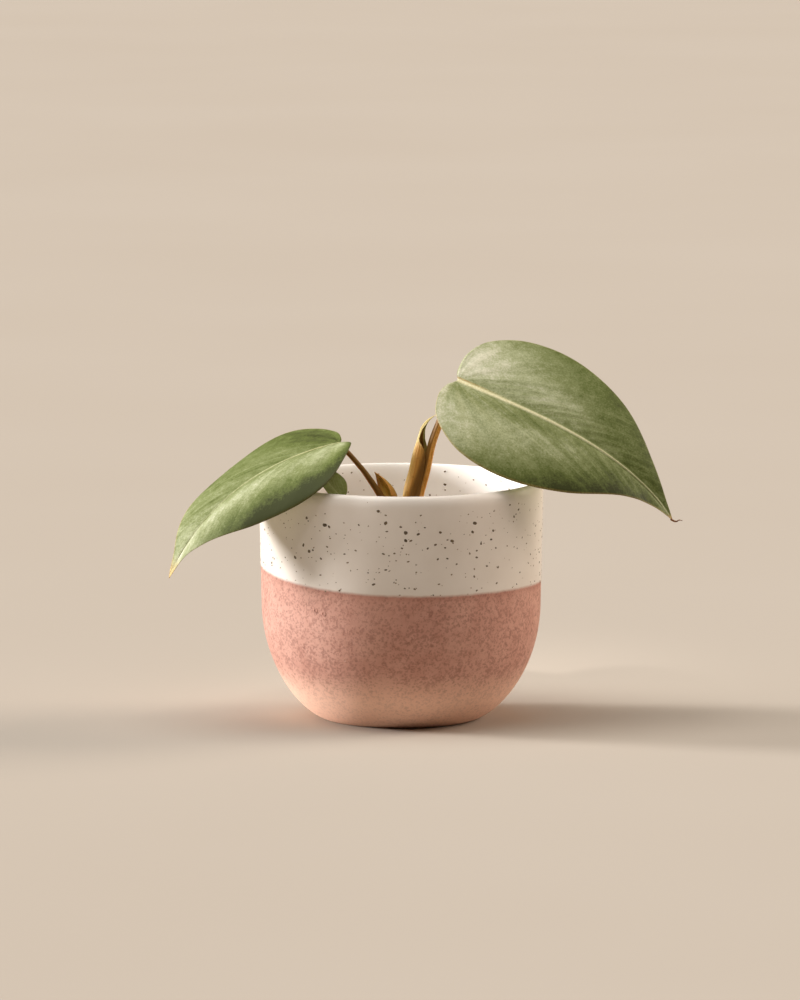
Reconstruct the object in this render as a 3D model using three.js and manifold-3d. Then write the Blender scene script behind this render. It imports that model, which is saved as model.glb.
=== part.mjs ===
// A young philodendron in a glazed ceramic pot. Millimetres, +Z up.
// The origin is the centre of the pot's flat base; +X points to the larger leaf's side.

import * as THREE from 'three';
import { mergeVertices } from 'three/addons/utils/BufferGeometryUtils.js';
import Module from 'manifold-3d';

const wasm = await Module();
wasm.setup();

// Driving dimensions: the pot
const POT_HEIGHT = 92.7;
const POT_RADIUS = 55; // outside of the lip
const LIP_RADIUS = 1.85; // the lip is a full round
const WALL = 2 * LIP_RADIUS;
const BOWL_TOP = 45.5; // height at which the wall starts to curve in
const BOWL_RADIUS = 54.2; // outside radius at that height
const FOOT_RADIUS = 29; // the flat base
const FLOOR = 5; // thickness of the base
const BOWL_POWER = 4 / 3; // how squarely the bowl meets the foot
const POT_SEGMENTS = 48;
const LIP_STEPS = 6;
const BOWL_STEPS = 8;

// Driving dimensions: the potting mix
const MIX_EDGE_HEIGHT = 73.4; // at the wall
const MIX_MOUND = 1.4; // how much higher the middle is
const MIX_RINGS = [1, 0.75, 0.4, 0]; // fractions of the radius on the surface
const GAP = 0.3; // between pieces that touch
const WELD_DISTANCE = 1e-4; // points closer than this are one point

// Driving dimensions: the leaves
const BLADE_THICKNESS = 0.8;
const SHEATH_THICKNESS = 0.6;
const STALK_END = 3.5; // how far a stalk runs on under the midrib of the larger leaf
const STALK_ENTRY = -0.5; // where it first lies flat against the midrib
const STALK_SEAT = 1.12; // allows for the fold of the blade, which comes down beside the stalk
const RIB_START = 5.5; // where the midrib starts to stand out below the blade
const RIB_REACH = 0.5; // half the width of the midrib
const RIB_TAPER = 0.7; // how much of its depth is lost by the tip
const MIDRIB_STEPS = 80;
const DEGREE = Math.PI / 180;

// Half of the heart-shaped blade, from the stalk round the lobe to the tip:
// fractions of the length along the midrib and of the half width
const BLADE_OUTLINE = [
  [0, 0], [-0.023, 0.135], [-0.025, 0.42], [0.026, 0.74], [0.154, 1],
  [0.346, 1], [0.587, 0.74], [0.79, 0.315], [0.896, 0.12], [1, 0],
];
const FAN_END = 0.3; // the part of the outline whose veins start at the stalk
const FAN_START = 0.04;
const VEIN_SLANT = 1.15;

// Each leaf: where its stalk meets it, its size, and how it bends. pitch, heading and roll are
// in degrees and grow along the midrib by the second and third numbers. fold is the angle at the
// midrib, curl the bend per mm outwards, curlGrowth how much curl the tip adds; left is the side
// on the left hand of someone who looks from the stalk to the tip.
const LEAVES = {
  right: {
    base: [22.1, -5.9, 131.7], length: 100.6, halfWidth: 36.5,
    pitch: [-21.4, 3.6, -38.9], heading: [-14.4, 19.2], roll: [30.9, 20.5],
    fold: { left: -9.9, right: -10.5 },
    curl: { left: 0.0094, right: 0.0086 },
    curlGrowth: { left: 0.0066, right: 0.0066 },
    rows: 24, columns: 5, ribDepth: 0.8,
  },
  left: {
    base: [-23.8, -13.9, 108.4], length: 87.5, halfWidth: 33.9,
    pitch: [-10.8, -43.1, -11.2], heading: [191.8, 12.2], roll: [-1.6, -13.4],
    fold: { left: -14.1, right: -8.1 },
    curl: { left: 0.0185, right: 0.0011 },
    curlGrowth: { left: 0.0263, right: 0.0347 },
    rows: 24, columns: 5, ribDepth: 0.7,
  },
  small: {
    base: [-22.9, -18.9, 87.6], length: 18, halfWidth: 7.4,
    pitch: [54, -20, 0], heading: [196, 0], roll: [-42, 0],
    fold: { left: -16, right: -16 },
    curl: { left: 0.015, right: 0.015 },
    curlGrowth: { left: 0, right: 0 },
    rows: 14, columns: 3, ribDepth: 0.35,
  },
};
const LOBE_DROOP = 0.002;

// Stalks, from inside the rhizome to just under the blade: centreline points and radii
const STALK_STEPS = 3; // per point
const STALK_SIDES = 8;
const STALKS = {
  right: {
    points: [[4.6, -0.6, 74.5], [5.6, -0.7, 80], [7.4, -1, 87.2], [9.9, -2, 96.6],
      [11.9, -3, 106.5], [14.3, -4, 113.6], [18.3, -5, 123.5]],
    radii: [1.8, 1.75, 1.65, 1.6, 1.6, 1.55, 1.4, 1.2, 1.1],
  },
  left: {
    points: [[-2.6, -2.2, 74.5], [-4.6, -3.2, 80.5], [-8, -5, 87.3], [-12.6, -7.6, 94.6],
      [-15.9, -9.8, 99.2]],
    radii: [1.8, 1.65, 1.4, 1.2, 1.05, 1, 0.95],
  },
  small: {
    points: [[-11.5, -2.7, 74.5], [-13, -6, 79.5], [-17, -12, 83]],
    radii: [1.3, 1.1, 0.9, 0.75, 0.7],
  },
};

// Sheaths that clasp the stalks: centreline, radius of the rolled section, the direction that
// the closed back of the roll faces, and how many degrees the roll goes round from there, on the
// near side and on the far side
const SHEATHS = {
  right: {
    points: [[4.4, -0.4, 77], [4.7, -0.1, 87], [6.4, -0.8, 95], [7.8, -1.45, 102],
      [8.35, -1.8, 106], [8.45, -2, 109], [9.1, -2.4, 112.7], [10.9, -3.1, 115.8],
      [13.6, -3.8, 118.3]],
    radii: [3.9, 3.9, 3.6, 3.4, 2.8, 2, 1.4, 0.9, 0.35],
    nearArc: [80, 87, 104, 120, 102, 66, 82, 100, 70],
    farArc: [135, 138, 132, 120, 108, 98, 90, 80, 60],
    back: [-1, 0.35, 0],
    rows: 18, columns: 5,
  },
  left: {
    points: [[-3.2, -2, 77.5], [-4.9, -3.4, 86.5], [-7.3, -4.2, 91.3], [-10.2, -5, 96.2]],
    radii: [2.9, 3.5, 2.5, 0.4],
    nearArc: [112, 105, 90, 60],
    farArc: [112, 105, 90, 60],
    back: [1, 0.8, -0.2],
    rows: 10, columns: 4,
  },
};

// The rhizome creeps from the oldest leaf towards +X and ends in the new growth
const RHIZOME = {
  points: [[-20, -3, 71.8], [-11, -2.6, 73], [-2.5, -2, 73.4], [4.6, -0.9, 73.6], [13, -0.5, 74]],
  radii: [3.4, 4.7, 5, 5.2, 4.2],
  nodeAt: [0.12, 0.27, 0.5, 0.74, 0.93],
  nodeSwell: 0.55,
  nodeWidth: 0.025,
  fineness: { steps: 28, sides: 12 },
};
const GROWTH_TIP = {
  points: [[13.4, -0.49, 74.02], [17, -0.4, 74.8], [21, -0.2, 77], [25, 0.2, 80.4]],
  radii: [3.9, 3.6, 2.2, 0.3],
  fineness: { steps: 8, sides: 10 },
};

// Anchoring roots, from inside the rhizome over the surface and down into the mix
const ROOTS = [
  [[-15, -2.8, 72.4], [-16, -10, 74.6], [-18, -17, 70.5], [-21, -23, 58], [-22, -27, 46]],
  [[-6, -2.2, 73], [-6.6, 7, 75], [-8, 14, 71], [-11, 21, 58], [-12, 23, 45]],
  [[6, -0.9, 73.4], [7, -9, 74.8], [9.5, -15, 70.5], [13, -20, 58], [14, -22, 45]],
  [[11, -0.6, 73.6], [12, 8, 75], [14.5, 14, 70.5], [19, 19, 58], [21, 21, 46]],
  [[-2, -1.8, 71], [-2.4, -1, 62], [-1, 1.5, 50], [1.5, 3, 38]],
];
const ROOT_RADII = [1.15, 1.1, 1, 0.85, 0.6];
const ROOT_FINENESS = { steps: 12, sides: 7 };

// Materials: colour, roughness
const FINISHES = {
  glaze: [0xe9e0d3, 0.35],
  leaf: [0x76855a, 0.6],
  youngLeaf: [0x46562f, 0.6],
  stalk: [0x8a5f2c, 0.5],
  sheath: [0xb48a4c, 0.6],
  rhizome: [0x6f6a3c, 0.7],
  root: [0xb9a27c, 0.85],
  mix: [0x3d2a1d, 0.95],
};

function material(finish) {
  const [color, roughness] = FINISHES[finish];
  return new THREE.MeshStandardMaterial({ color, roughness, metalness: 0 });
}

function vector(point) {
  return new THREE.Vector3(...point);
}

// A smooth curve through a list of plain numbers, evaluated at u in 0..1
function blend(values, u) {
  const n = values.length - 1;
  const s = Math.min(Math.max(u, 0), 1) * n;
  const i = Math.min(Math.floor(s), n - 1);
  const f = s - i;
  const before = i > 0 ? values[i - 1] : 2 * values[0] - values[1];
  const after = i + 2 <= n ? values[i + 2] : 2 * values[n] - values[n - 1];
  const [a, b] = [values[i], values[i + 1]];
  return 0.5 * (2 * a + (b - before) * f + (2 * before - 5 * a + 4 * b - after) * f * f
    + (3 * a - before - 3 * b + after) * f * f * f);
}

// Leaves only positions, merges shared vertices and drops triangles that have collapsed
function welded(geometry) {
  geometry.deleteAttribute('normal');
  geometry.deleteAttribute('uv');
  const merged = mergeVertices(geometry, WELD_DISTANCE);
  merged.setIndex(liveTriangles(merged.getIndex().array));
  return merged;
}

function liveTriangles(index) {
  const kept = [];
  for (let k = 0; k < index.length; k += 3) {
    const [a, b, c] = [index[k], index[k + 1], index[k + 2]];
    if (a !== b && b !== c && c !== a) {
      kept.push(a, b, c);
    }
  }
  return kept;
}

// A rows by columns patch of surface; pointAt gets the row and column as 0..1
function patch(rows, columns, pointAt) {
  const positions = [];
  const index = [];
  for (let i = 0; i <= rows; i++) {
    for (let j = 0; j <= columns; j++) {
      positions.push(...pointAt(i / rows, j / columns).toArray());
    }
  }
  const width = columns + 1;
  for (let i = 0; i < rows; i++) {
    for (let j = 0; j < columns; j++) {
      const a = i * width + j;
      index.push(a, a + width, a + 1, a + 1, a + width, a + width + 1);
    }
  }
  const geometry = new THREE.BufferGeometry();
  geometry.setAttribute('position', new THREE.Float32BufferAttribute(positions, 3));
  geometry.setIndex(index);
  return geometry;
}

// Turns a patch into a closed sheet: one skin above, one below, and a rim between them
function thickened(surface, above, belowAt) {
  const sheet = welded(surface);
  sheet.computeVertexNormals();
  const position = sheet.getAttribute('position');
  const normal = sheet.getAttribute('normal');
  const count = position.count;
  const points = [];
  for (const upper of [true, false]) {
    for (let k = 0; k < count; k++) {
      const p = new THREE.Vector3().fromBufferAttribute(position, k);
      const n = new THREE.Vector3().fromBufferAttribute(normal, k);
      points.push(...p.addScaledVector(n, upper ? above : -belowAt(p)).toArray());
    }
  }
  const face = sheet.getIndex().array;
  const edges = new Set();
  const index = [];
  for (let k = 0; k < face.length; k += 3) {
    const [a, b, c] = [face[k], face[k + 1], face[k + 2]];
    index.push(a, b, c, c + count, b + count, a + count);
    for (const [from, to] of [[a, b], [b, c], [c, a]]) {
      edges.add(`${from}:${to}`);
    }
  }
  for (const edge of edges) {
    const [a, b] = edge.split(':').map(Number);
    if (!edges.has(`${b}:${a}`)) {
      index.push(b, a, a + count, b, a + count, b + count);
    }
  }
  const solid = new THREE.BufferGeometry();
  solid.setAttribute('position', new THREE.Float32BufferAttribute(points, 3));
  solid.setIndex(index);
  return solid;
}

// A round stem of changing thickness along a curve, closed at both ends. grow makes it larger
// all round, for the hollow that it lies in.
function limb(points, radiusAt, { steps, sides }, grow = 0) {
  const curve = new THREE.CatmullRomCurve3(points.map(vector), false, 'centripetal');
  const frames = curve.computeFrenetFrames(steps, false);
  const centre = (u) => {
    const beyond = u === 0 ? -grow : (u === 1 ? grow : 0);
    return curve.getPointAt(u).addScaledVector(curve.getTangentAt(u), beyond);
  };
  const ring = (u, turn) => {
    const k = Math.round(u * steps);
    const angle = turn * 2 * Math.PI;
    const radius = radiusAt(u) + grow;
    return centre(u)
      .addScaledVector(frames.normals[k], radius * Math.cos(angle))
      .addScaledVector(frames.binormals[k], radius * Math.sin(angle));
  };
  const side = patch(steps, sides, (u, turn) => ring(u, turn === 1 ? 0 : turn));
  const positions = [...side.getAttribute('position').array];
  const index = [...side.getIndex().array];
  const width = sides + 1;
  const start = positions.length / 3;
  positions.push(...centre(0).toArray(), ...centre(1).toArray());
  for (let j = 0; j < sides; j++) {
    const last = steps * width + j;
    index.push(start, j, j + 1, start + 1, last + 1, last);
  }
  const body = new THREE.BufferGeometry();
  body.setAttribute('position', new THREE.Float32BufferAttribute(positions, 3));
  body.setIndex(index);
  return facingOut(welded(body));
}

// Turns a closed mesh inside out if its faces point in
function facingOut(geometry) {
  const position = geometry.getAttribute('position');
  const index = geometry.getIndex().array;
  const corner = (k) => new THREE.Vector3().fromBufferAttribute(position, index[k]);
  let volume = 0;
  for (let k = 0; k < index.length; k += 3) {
    volume += corner(k).dot(corner(k + 1).cross(corner(k + 2)));
  }
  if (volume < 0) {
    geometry.setIndex([...index].reverse());
  }
  return geometry;
}

function toSolid(geometry) {
  const clean = welded(geometry.clone());
  return new wasm.Manifold(new wasm.Mesh({
    numProp: 3,
    vertProperties: new Float32Array(clean.getAttribute('position').array),
    triVerts: new Uint32Array(clean.getIndex().array),
  }));
}

function fromSolid(solid) {
  const mesh = solid.getMesh();
  const geometry = new THREE.BufferGeometry();
  geometry.setAttribute('position', new THREE.BufferAttribute(mesh.vertProperties, 3));
  geometry.setIndex(new THREE.BufferAttribute(mesh.triVerts, 1));
  return geometry;
}

// What is left of a piece after its neighbours, each already grown by the gap, are cut away
function cutBy(geometry, neighbours) {
  const rest = neighbours.reduce((left, cut) => left.subtract(toSolid(cut)), toSolid(geometry));
  const pieces = rest.decompose();
  const largest = pieces.reduce((best, piece) => (piece.volume() > best.volume() ? piece : best));
  return fromSolid(largest);
}

// A profile of radius and height turned about the upright axis
function turned(profile) {
  const geometry = new THREE.LatheGeometry(profile, POT_SEGMENTS).rotateX(Math.PI / 2);
  return facingOut(welded(geometry));
}

// Outside of the bowl, or its inside when inset is the wall's thickness
function bowlProfile(inset, floor) {
  const profile = [];
  const foot = FOOT_RADIUS - inset;
  const top = BOWL_RADIUS - inset;
  for (let k = 0; k <= BOWL_STEPS; k++) {
    const t = (k / BOWL_STEPS) * Math.PI / 2;
    const radius = foot + (top - foot) * Math.sin(t) ** BOWL_POWER;
    profile.push(new THREE.Vector2(radius, floor + (BOWL_TOP - floor) * (1 - Math.cos(t))));
  }
  return profile;
}

function planter() {
  const lipCentre = new THREE.Vector2(POT_RADIUS - LIP_RADIUS, POT_HEIGHT - LIP_RADIUS);
  const lip = new THREE.Path();
  lip.absarc(lipCentre.x, lipCentre.y, LIP_RADIUS, 0, Math.PI, false);
  const profile = [
    new THREE.Vector2(0, 0),
    ...bowlProfile(0, 0),
    ...lip.getPoints(LIP_STEPS),
    ...bowlProfile(WALL, FLOOR).reverse(),
    new THREE.Vector2(0, FLOOR),
  ];
  return turned(profile);
}

function pottingMix(hollows) {
  const profile = [new THREE.Vector2(0, FLOOR + GAP)];
  profile.push(...bowlProfile(WALL + GAP, FLOOR + GAP));
  const wallSlope = (POT_RADIUS - BOWL_RADIUS) / (POT_HEIGHT - LIP_RADIUS - BOWL_TOP);
  const edge = BOWL_RADIUS - WALL - GAP + wallSlope * (MIX_EDGE_HEIGHT - BOWL_TOP);
  for (const share of MIX_RINGS) {
    const rise = MIX_MOUND * (1 - share ** 2);
    profile.push(new THREE.Vector2(edge * share, MIX_EDGE_HEIGHT + rise));
  }
  return cutBy(turned(profile), hollows);
}

// Places along a midrib, with the direction of travel, the left-hand side and the upper side
function midrib(leaf) {
  const stations = [];
  const place = vector(leaf.base);
  let previous = null;
  for (let k = 0; k <= MIDRIB_STEPS; k++) {
    const u = k / MIDRIB_STEPS;
    const pitch = (leaf.pitch[0] + leaf.pitch[1] * u + leaf.pitch[2] * u * u) * DEGREE;
    const heading = (leaf.heading[0] + leaf.heading[1] * u) * DEGREE;
    const roll = (leaf.roll[0] + leaf.roll[1] * u) * DEGREE;
    const ahead = new THREE.Vector3(
      Math.cos(pitch) * Math.cos(heading),
      Math.cos(pitch) * Math.sin(heading),
      Math.sin(pitch),
    );
    if (previous) {
      const half = leaf.length / MIDRIB_STEPS / 2;
      place.addScaledVector(previous, half).addScaledVector(ahead, half);
    }
    previous = ahead;
    const level = new THREE.Vector3(-Math.sin(heading), Math.cos(heading), 0);
    const left = level.clone().applyAxisAngle(ahead, roll);
    stations.push({ place: place.clone(), ahead, left, up: ahead.clone().cross(left) });
  }
  return stations;
}

// The station at a distance along the midrib; behind the stalk it runs straight back and droops
function stationAt(leaf, stations, along) {
  const s = Math.min(Math.max(along / leaf.length, 0), 1) * (stations.length - 1);
  const i = Math.min(Math.floor(s), stations.length - 2);
  const mix = (key) => stations[i][key].clone().lerp(stations[i + 1][key], s - i);
  const station = { place: mix('place'), ahead: mix('ahead'), left: mix('left'), up: mix('up') };
  const back = Math.min(along, 0);
  station.place.addScaledVector(station.ahead, back);
  station.place.addScaledVector(station.up, -LOBE_DROOP / 2 * back * back);
  return station;
}

// The place in space of a point of the flat blade: along the midrib and out to one side
function bladePoint(leaf, stations, along, out, side) {
  const station = stationAt(leaf, stations, along);
  const u = Math.min(Math.max(along / leaf.length, 0), 1);
  const fold = leaf.fold[side] * DEGREE;
  const curl = leaf.curl[side] + leaf.curlGrowth[side] * u;
  const reach = (Math.sin(fold + curl * out) - Math.sin(fold)) / curl;
  const drop = (Math.cos(fold) - Math.cos(fold + curl * out)) / curl;
  return station.place
    .addScaledVector(station.left, side === 'left' ? reach : -reach)
    .addScaledVector(station.up, -drop);
}

function bladeSurface(leaf) {
  const stations = midrib(leaf);
  const xs = BLADE_OUTLINE.map((point) => point[0]);
  const ys = BLADE_OUTLINE.map((point) => point[1]);
  return patch(leaf.rows, 2 * leaf.columns, (row, column) => {
    const t = FAN_START + (1 - FAN_START) * row;
    const share = Math.abs(2 * column - 1);
    const side = column > 0.5 ? 'left' : 'right';
    const fan = Math.max(0, (t - FAN_END) / (1 - FAN_END)) ** VEIN_SLANT;
    const along = leaf.length * (fan + (blend(xs, t) - fan) * share);
    const out = leaf.halfWidth * Math.max(0, blend(ys, t)) * share;
    return bladePoint(leaf, stations, along, out, side);
  });
}

// The blade as a closed sheet, thicker under the midrib from where the stalk ends
function blade(leaf) {
  const stations = midrib(leaf);
  const below = (point) => {
    let nearest = Infinity;
    let station = 0;
    stations.forEach((s, k) => {
      const distance = s.place.distanceTo(point);
      if (distance < nearest) {
        [nearest, station] = [distance, k];
      }
    });
    const u = station / (stations.length - 1);
    const onRib = nearest < RIB_REACH && u * leaf.length > RIB_START;
    return BLADE_THICKNESS / 2 + (onRib ? leaf.ribDepth * (1 - RIB_TAPER * u) : 0);
  };
  return facingOut(thickened(bladeSurface(leaf), BLADE_THICKNESS / 2, below));
}

// A stalk's points, carried on so that its end lies flat under the start of the midrib
function stalkPoints(name) {
  const leaf = LEAVES[name];
  const stations = midrib(leaf);
  const stalk = STALKS[name];
  const tipRadius = stalk.radii[stalk.radii.length - 1];
  const depth = STALK_SEAT * (BLADE_THICKNESS / 2 + GAP + tipRadius);
  const scale = leaf.length / LEAVES.right.length;
  const ends = [STALK_ENTRY, STALK_END].map((along) => {
    const station = stationAt(leaf, stations, along * scale);
    return station.place.addScaledVector(station.up, -depth).toArray();
  });
  return [...stalk.points, ...ends];
}

function stalk(name) {
  const points = stalkPoints(name);
  const fineness = { steps: STALK_STEPS * points.length, sides: STALK_SIDES };
  return limb(points, (u) => blend(STALKS[name].radii, u), fineness);
}

function rhizome(grow = 0) {
  const radiusAt = (u) => {
    const swell = RHIZOME.nodeAt.map((at) => Math.exp(-(((u - at) / RHIZOME.nodeWidth) ** 2)));
    return blend(RHIZOME.radii, u) + RHIZOME.nodeSwell * Math.max(...swell);
  };
  return limb(RHIZOME.points, radiusAt, RHIZOME.fineness, grow);
}

function growthTip(grow = 0) {
  const radiusAt = (u) => blend(GROWTH_TIP.radii, u);
  return limb(GROWTH_TIP.points, radiusAt, GROWTH_TIP.fineness, grow);
}

function root(points, grow = 0) {
  return limb(points, (u) => blend(ROOT_RADII, u), ROOT_FINENESS, grow);
}

// A pointed sheath rolled round its stalk, open on one side
function sheath(shape) {
  const curve = new THREE.CatmullRomCurve3(shape.points.map(vector), false, 'centripetal');
  const surface = patch(shape.rows, 2 * shape.columns, (u, column) => {
    const ahead = curve.getTangent(u);
    const back = vector(shape.back);
    back.addScaledVector(ahead, -back.dot(ahead)).normalize();
    const across = ahead.clone().cross(back);
    const arc = column > 0.5 ? shape.nearArc : shape.farArc;
    const angle = (2 * column - 1) * blend(arc, u) * DEGREE;
    const radius = blend(shape.radii, u) - SHEATH_THICKNESS / 2;
    return curve.getPoint(u)
      .addScaledVector(back, radius * Math.cos(angle))
      .addScaledVector(across, radius * Math.sin(angle));
  });
  const half = SHEATH_THICKNESS / 2;
  return facingOut(thickened(surface, half, () => half));
}

// The assembly
const plant = new THREE.Group();

function add(name, geometry, finish) {
  const mesh = new THREE.Mesh(geometry, material(finish));
  mesh.name = name;
  plant.add(mesh);
}

const rhizomeClearance = rhizome(GAP);

add('planter', planter(), 'glaze');
add('potting_mix', pottingMix([
  rhizomeClearance,
  growthTip(GAP),
  ...ROOTS.map((points) => root(points, GAP)),
]), 'mix');
add('rhizome', rhizome(), 'rhizome');
add('growth_tip', cutBy(growthTip(), [rhizomeClearance]), 'sheath');
ROOTS.forEach((points, k) => {
  add(`root_${k + 1}`, cutBy(root(points), [rhizomeClearance]), 'root');
});
for (const name of ['right', 'left', 'small']) {
  add(`${name}_petiole`, cutBy(stalk(name), [rhizomeClearance]), 'stalk');
  add(`${name}_leaf`, blade(LEAVES[name]), name === 'small' ? 'youngLeaf' : 'leaf');
}
for (const name of ['right', 'left']) {
  add(`${name}_sheath`, cutBy(sheath(SHEATHS[name]), [rhizomeClearance]), 'sheath');
}

export default plant;
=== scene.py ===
"""A young philodendron in a glazed ceramic pot.

The scene is in metres with +Z up; the shapes are worked out in millimetres. The origin is the
centre of the pot's flat base, and +X is the side on which the larger leaf spreads.
"""

import math
import random
from functools import partialmethod

import bmesh
import bpy
import numpy as np
from mathutils import Euler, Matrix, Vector, noise


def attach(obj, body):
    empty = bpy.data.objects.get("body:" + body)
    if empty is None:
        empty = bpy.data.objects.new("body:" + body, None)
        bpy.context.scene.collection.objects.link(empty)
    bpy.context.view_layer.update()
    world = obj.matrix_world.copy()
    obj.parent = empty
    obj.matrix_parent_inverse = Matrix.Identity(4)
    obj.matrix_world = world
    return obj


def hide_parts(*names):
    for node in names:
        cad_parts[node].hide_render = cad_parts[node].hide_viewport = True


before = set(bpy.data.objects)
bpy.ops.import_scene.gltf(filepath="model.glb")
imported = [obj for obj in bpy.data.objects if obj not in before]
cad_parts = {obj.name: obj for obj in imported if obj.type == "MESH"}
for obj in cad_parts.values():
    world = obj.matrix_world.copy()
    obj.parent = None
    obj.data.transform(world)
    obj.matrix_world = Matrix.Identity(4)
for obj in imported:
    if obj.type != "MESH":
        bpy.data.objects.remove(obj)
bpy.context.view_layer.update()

MM = 0.001
DEGREE = math.pi / 180
TURN = 2 * math.pi
TINY = 1e-9
UP = (0, 0, 1)
SPLINE_STEPS = 60  # for each point that a stem is drawn through

# Numbers


def unit(vectors):
    """Vectors scaled to length one, along the last axis."""
    return vectors / np.linalg.norm(vectors, axis=-1, keepdims=True)


def smooth(value):
    """0 below 0, 1 above 1, and a soft step between them."""
    value = np.clip(value, 0, 1)
    return value * value * (3 - 2 * value)


def bell(value, width):
    return np.exp(-((value / width) ** 2))


def turns(count):
    """Equal steps of a full turn."""
    return np.linspace(0, TURN, count, endpoint=False)


def extended(values):
    """Values with one more at each end, in line with the last two."""
    values = np.asarray(values, float)
    return np.concatenate([[2 * values[0] - values[1]], values, [2 * values[-1] - values[-2]]])


def blend(values, u):
    """A smooth curve through a list of plain numbers, at u in 0..1."""
    padded = extended(values)
    spans = len(padded) - 3
    s = np.clip(u, 0, 1) * spans
    i = np.minimum(s.astype(int), spans - 1)
    f = s - i
    before, a, b, after = (padded[i + k] for k in range(4))
    return 0.5 * (
        2 * a
        + (b - before) * f
        + (2 * before - 5 * a + 4 * b - after) * f**2
        + (3 * a - before - 3 * b + after) * f**3
    )


def spline(points, count):
    """The centripetal Catmull-Rom curve through some points, in equal steps between them."""
    padded = extended(points)
    places = []
    for t in np.linspace(0, len(points) - 1, count):
        i = min(int(t), len(points) - 2)
        p0, p1, p2, p3 = padded[i : i + 4]
        d0, d1, d2 = (np.linalg.norm(b - a) ** 0.5 for a, b in ((p0, p1), (p1, p2), (p2, p3)))
        start = d1 * ((p1 - p0) / d0 - (p2 - p0) / (d0 + d1) + (p2 - p1) / d1)
        stop = d1 * ((p2 - p1) / d1 - (p3 - p1) / (d1 + d2) + (p3 - p2) / d2)
        f = t - i
        places.append(
            p1
            + start * f
            + (-3 * p1 + 3 * p2 - 2 * start - stop) * f**2
            + (2 * p1 - 2 * p2 + start + stop) * f**3
        )
    return np.array(places)


def even(line, count):
    """The same line at equal steps of its length."""
    steps = np.linalg.norm(np.diff(line, axis=0), axis=1)
    length = np.concatenate([[0], np.cumsum(steps)])
    at = np.linspace(0, length[-1], count)
    return np.stack([np.interp(at, length, line[:, k]) for k in range(3)], axis=1)


def across_line(line, facing):
    """Directions across a line at each point: towards facing, and at right angles to that."""
    ahead = unit(np.gradient(line, axis=0))
    side = unit(facing - ahead * (ahead @ np.array(facing, float))[:, None])
    return side, np.cross(ahead, side)


def fan_out(directions, angle):
    """Directions at angles round a line, from its two directions across."""
    side, other = directions
    return np.cos(angle)[..., None] * side[:, None] + np.sin(angle)[..., None] * other[:, None]


def rough(points, size, seed=0.0):
    """Smooth noise in about -1..1 at each point, with lumps of a given size."""
    shift = Vector((seed * 7.3, seed * 3.1, seed * 5.7))
    values = [noise.noise(Vector(p) + shift) for p in points.reshape(-1, 3) / size]
    return np.array(values).reshape(points.shape[:-1])


# Meshes


def outward(points, faces):
    """Faces turned over if the closed mesh is inside out."""
    volume = 0.0
    for first, *others in faces:
        for b, c in zip(others, others[1:]):
            volume += np.dot(points[first], np.cross(points[b], points[c]))
    return [face[::-1] for face in faces] if volume < 0 else faces


def quads(rings, sides, looped=False):
    """Faces from ring to ring of points, and from the last ring to the first if looped."""
    pairs = [(i * sides, (i + 1) % rings * sides) for i in range(rings if looped else rings - 1)]
    steps = [(j, (j + 1) % sides) for j in range(sides)]
    return [(a + j, a + k, b + k, b + j) for a, b in pairs for j, k in steps]


def closed(rings):
    """A closed body from rings of points, with a fan over each end."""
    n, m = rings.shape[:2]
    points = np.vstack([rings.reshape(-1, 3), rings[0].mean(0), rings[-1].mean(0)])
    faces = quads(n, m)
    last = (n - 1) * m
    for j in range(m):
        k = (j + 1) % m
        faces += [(n * m, k, j), (n * m + 1, last + j, last + k)]
    return points, outward(points, faces)


def with_ends(values):
    """Ring values as a flat list, with the two end points' values added."""
    ends = np.stack([values[0].mean(0), values[-1].mean(0)])
    return np.concatenate([values.reshape(-1, *values.shape[2:]), ends])


def lathe(radius, height, angle):
    """Rings round the pot's axis."""
    x, y = radius * np.cos(angle), radius * np.sin(angle)
    return np.stack([x, y, np.broadcast_to(height, x.shape)], axis=-1)


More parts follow.
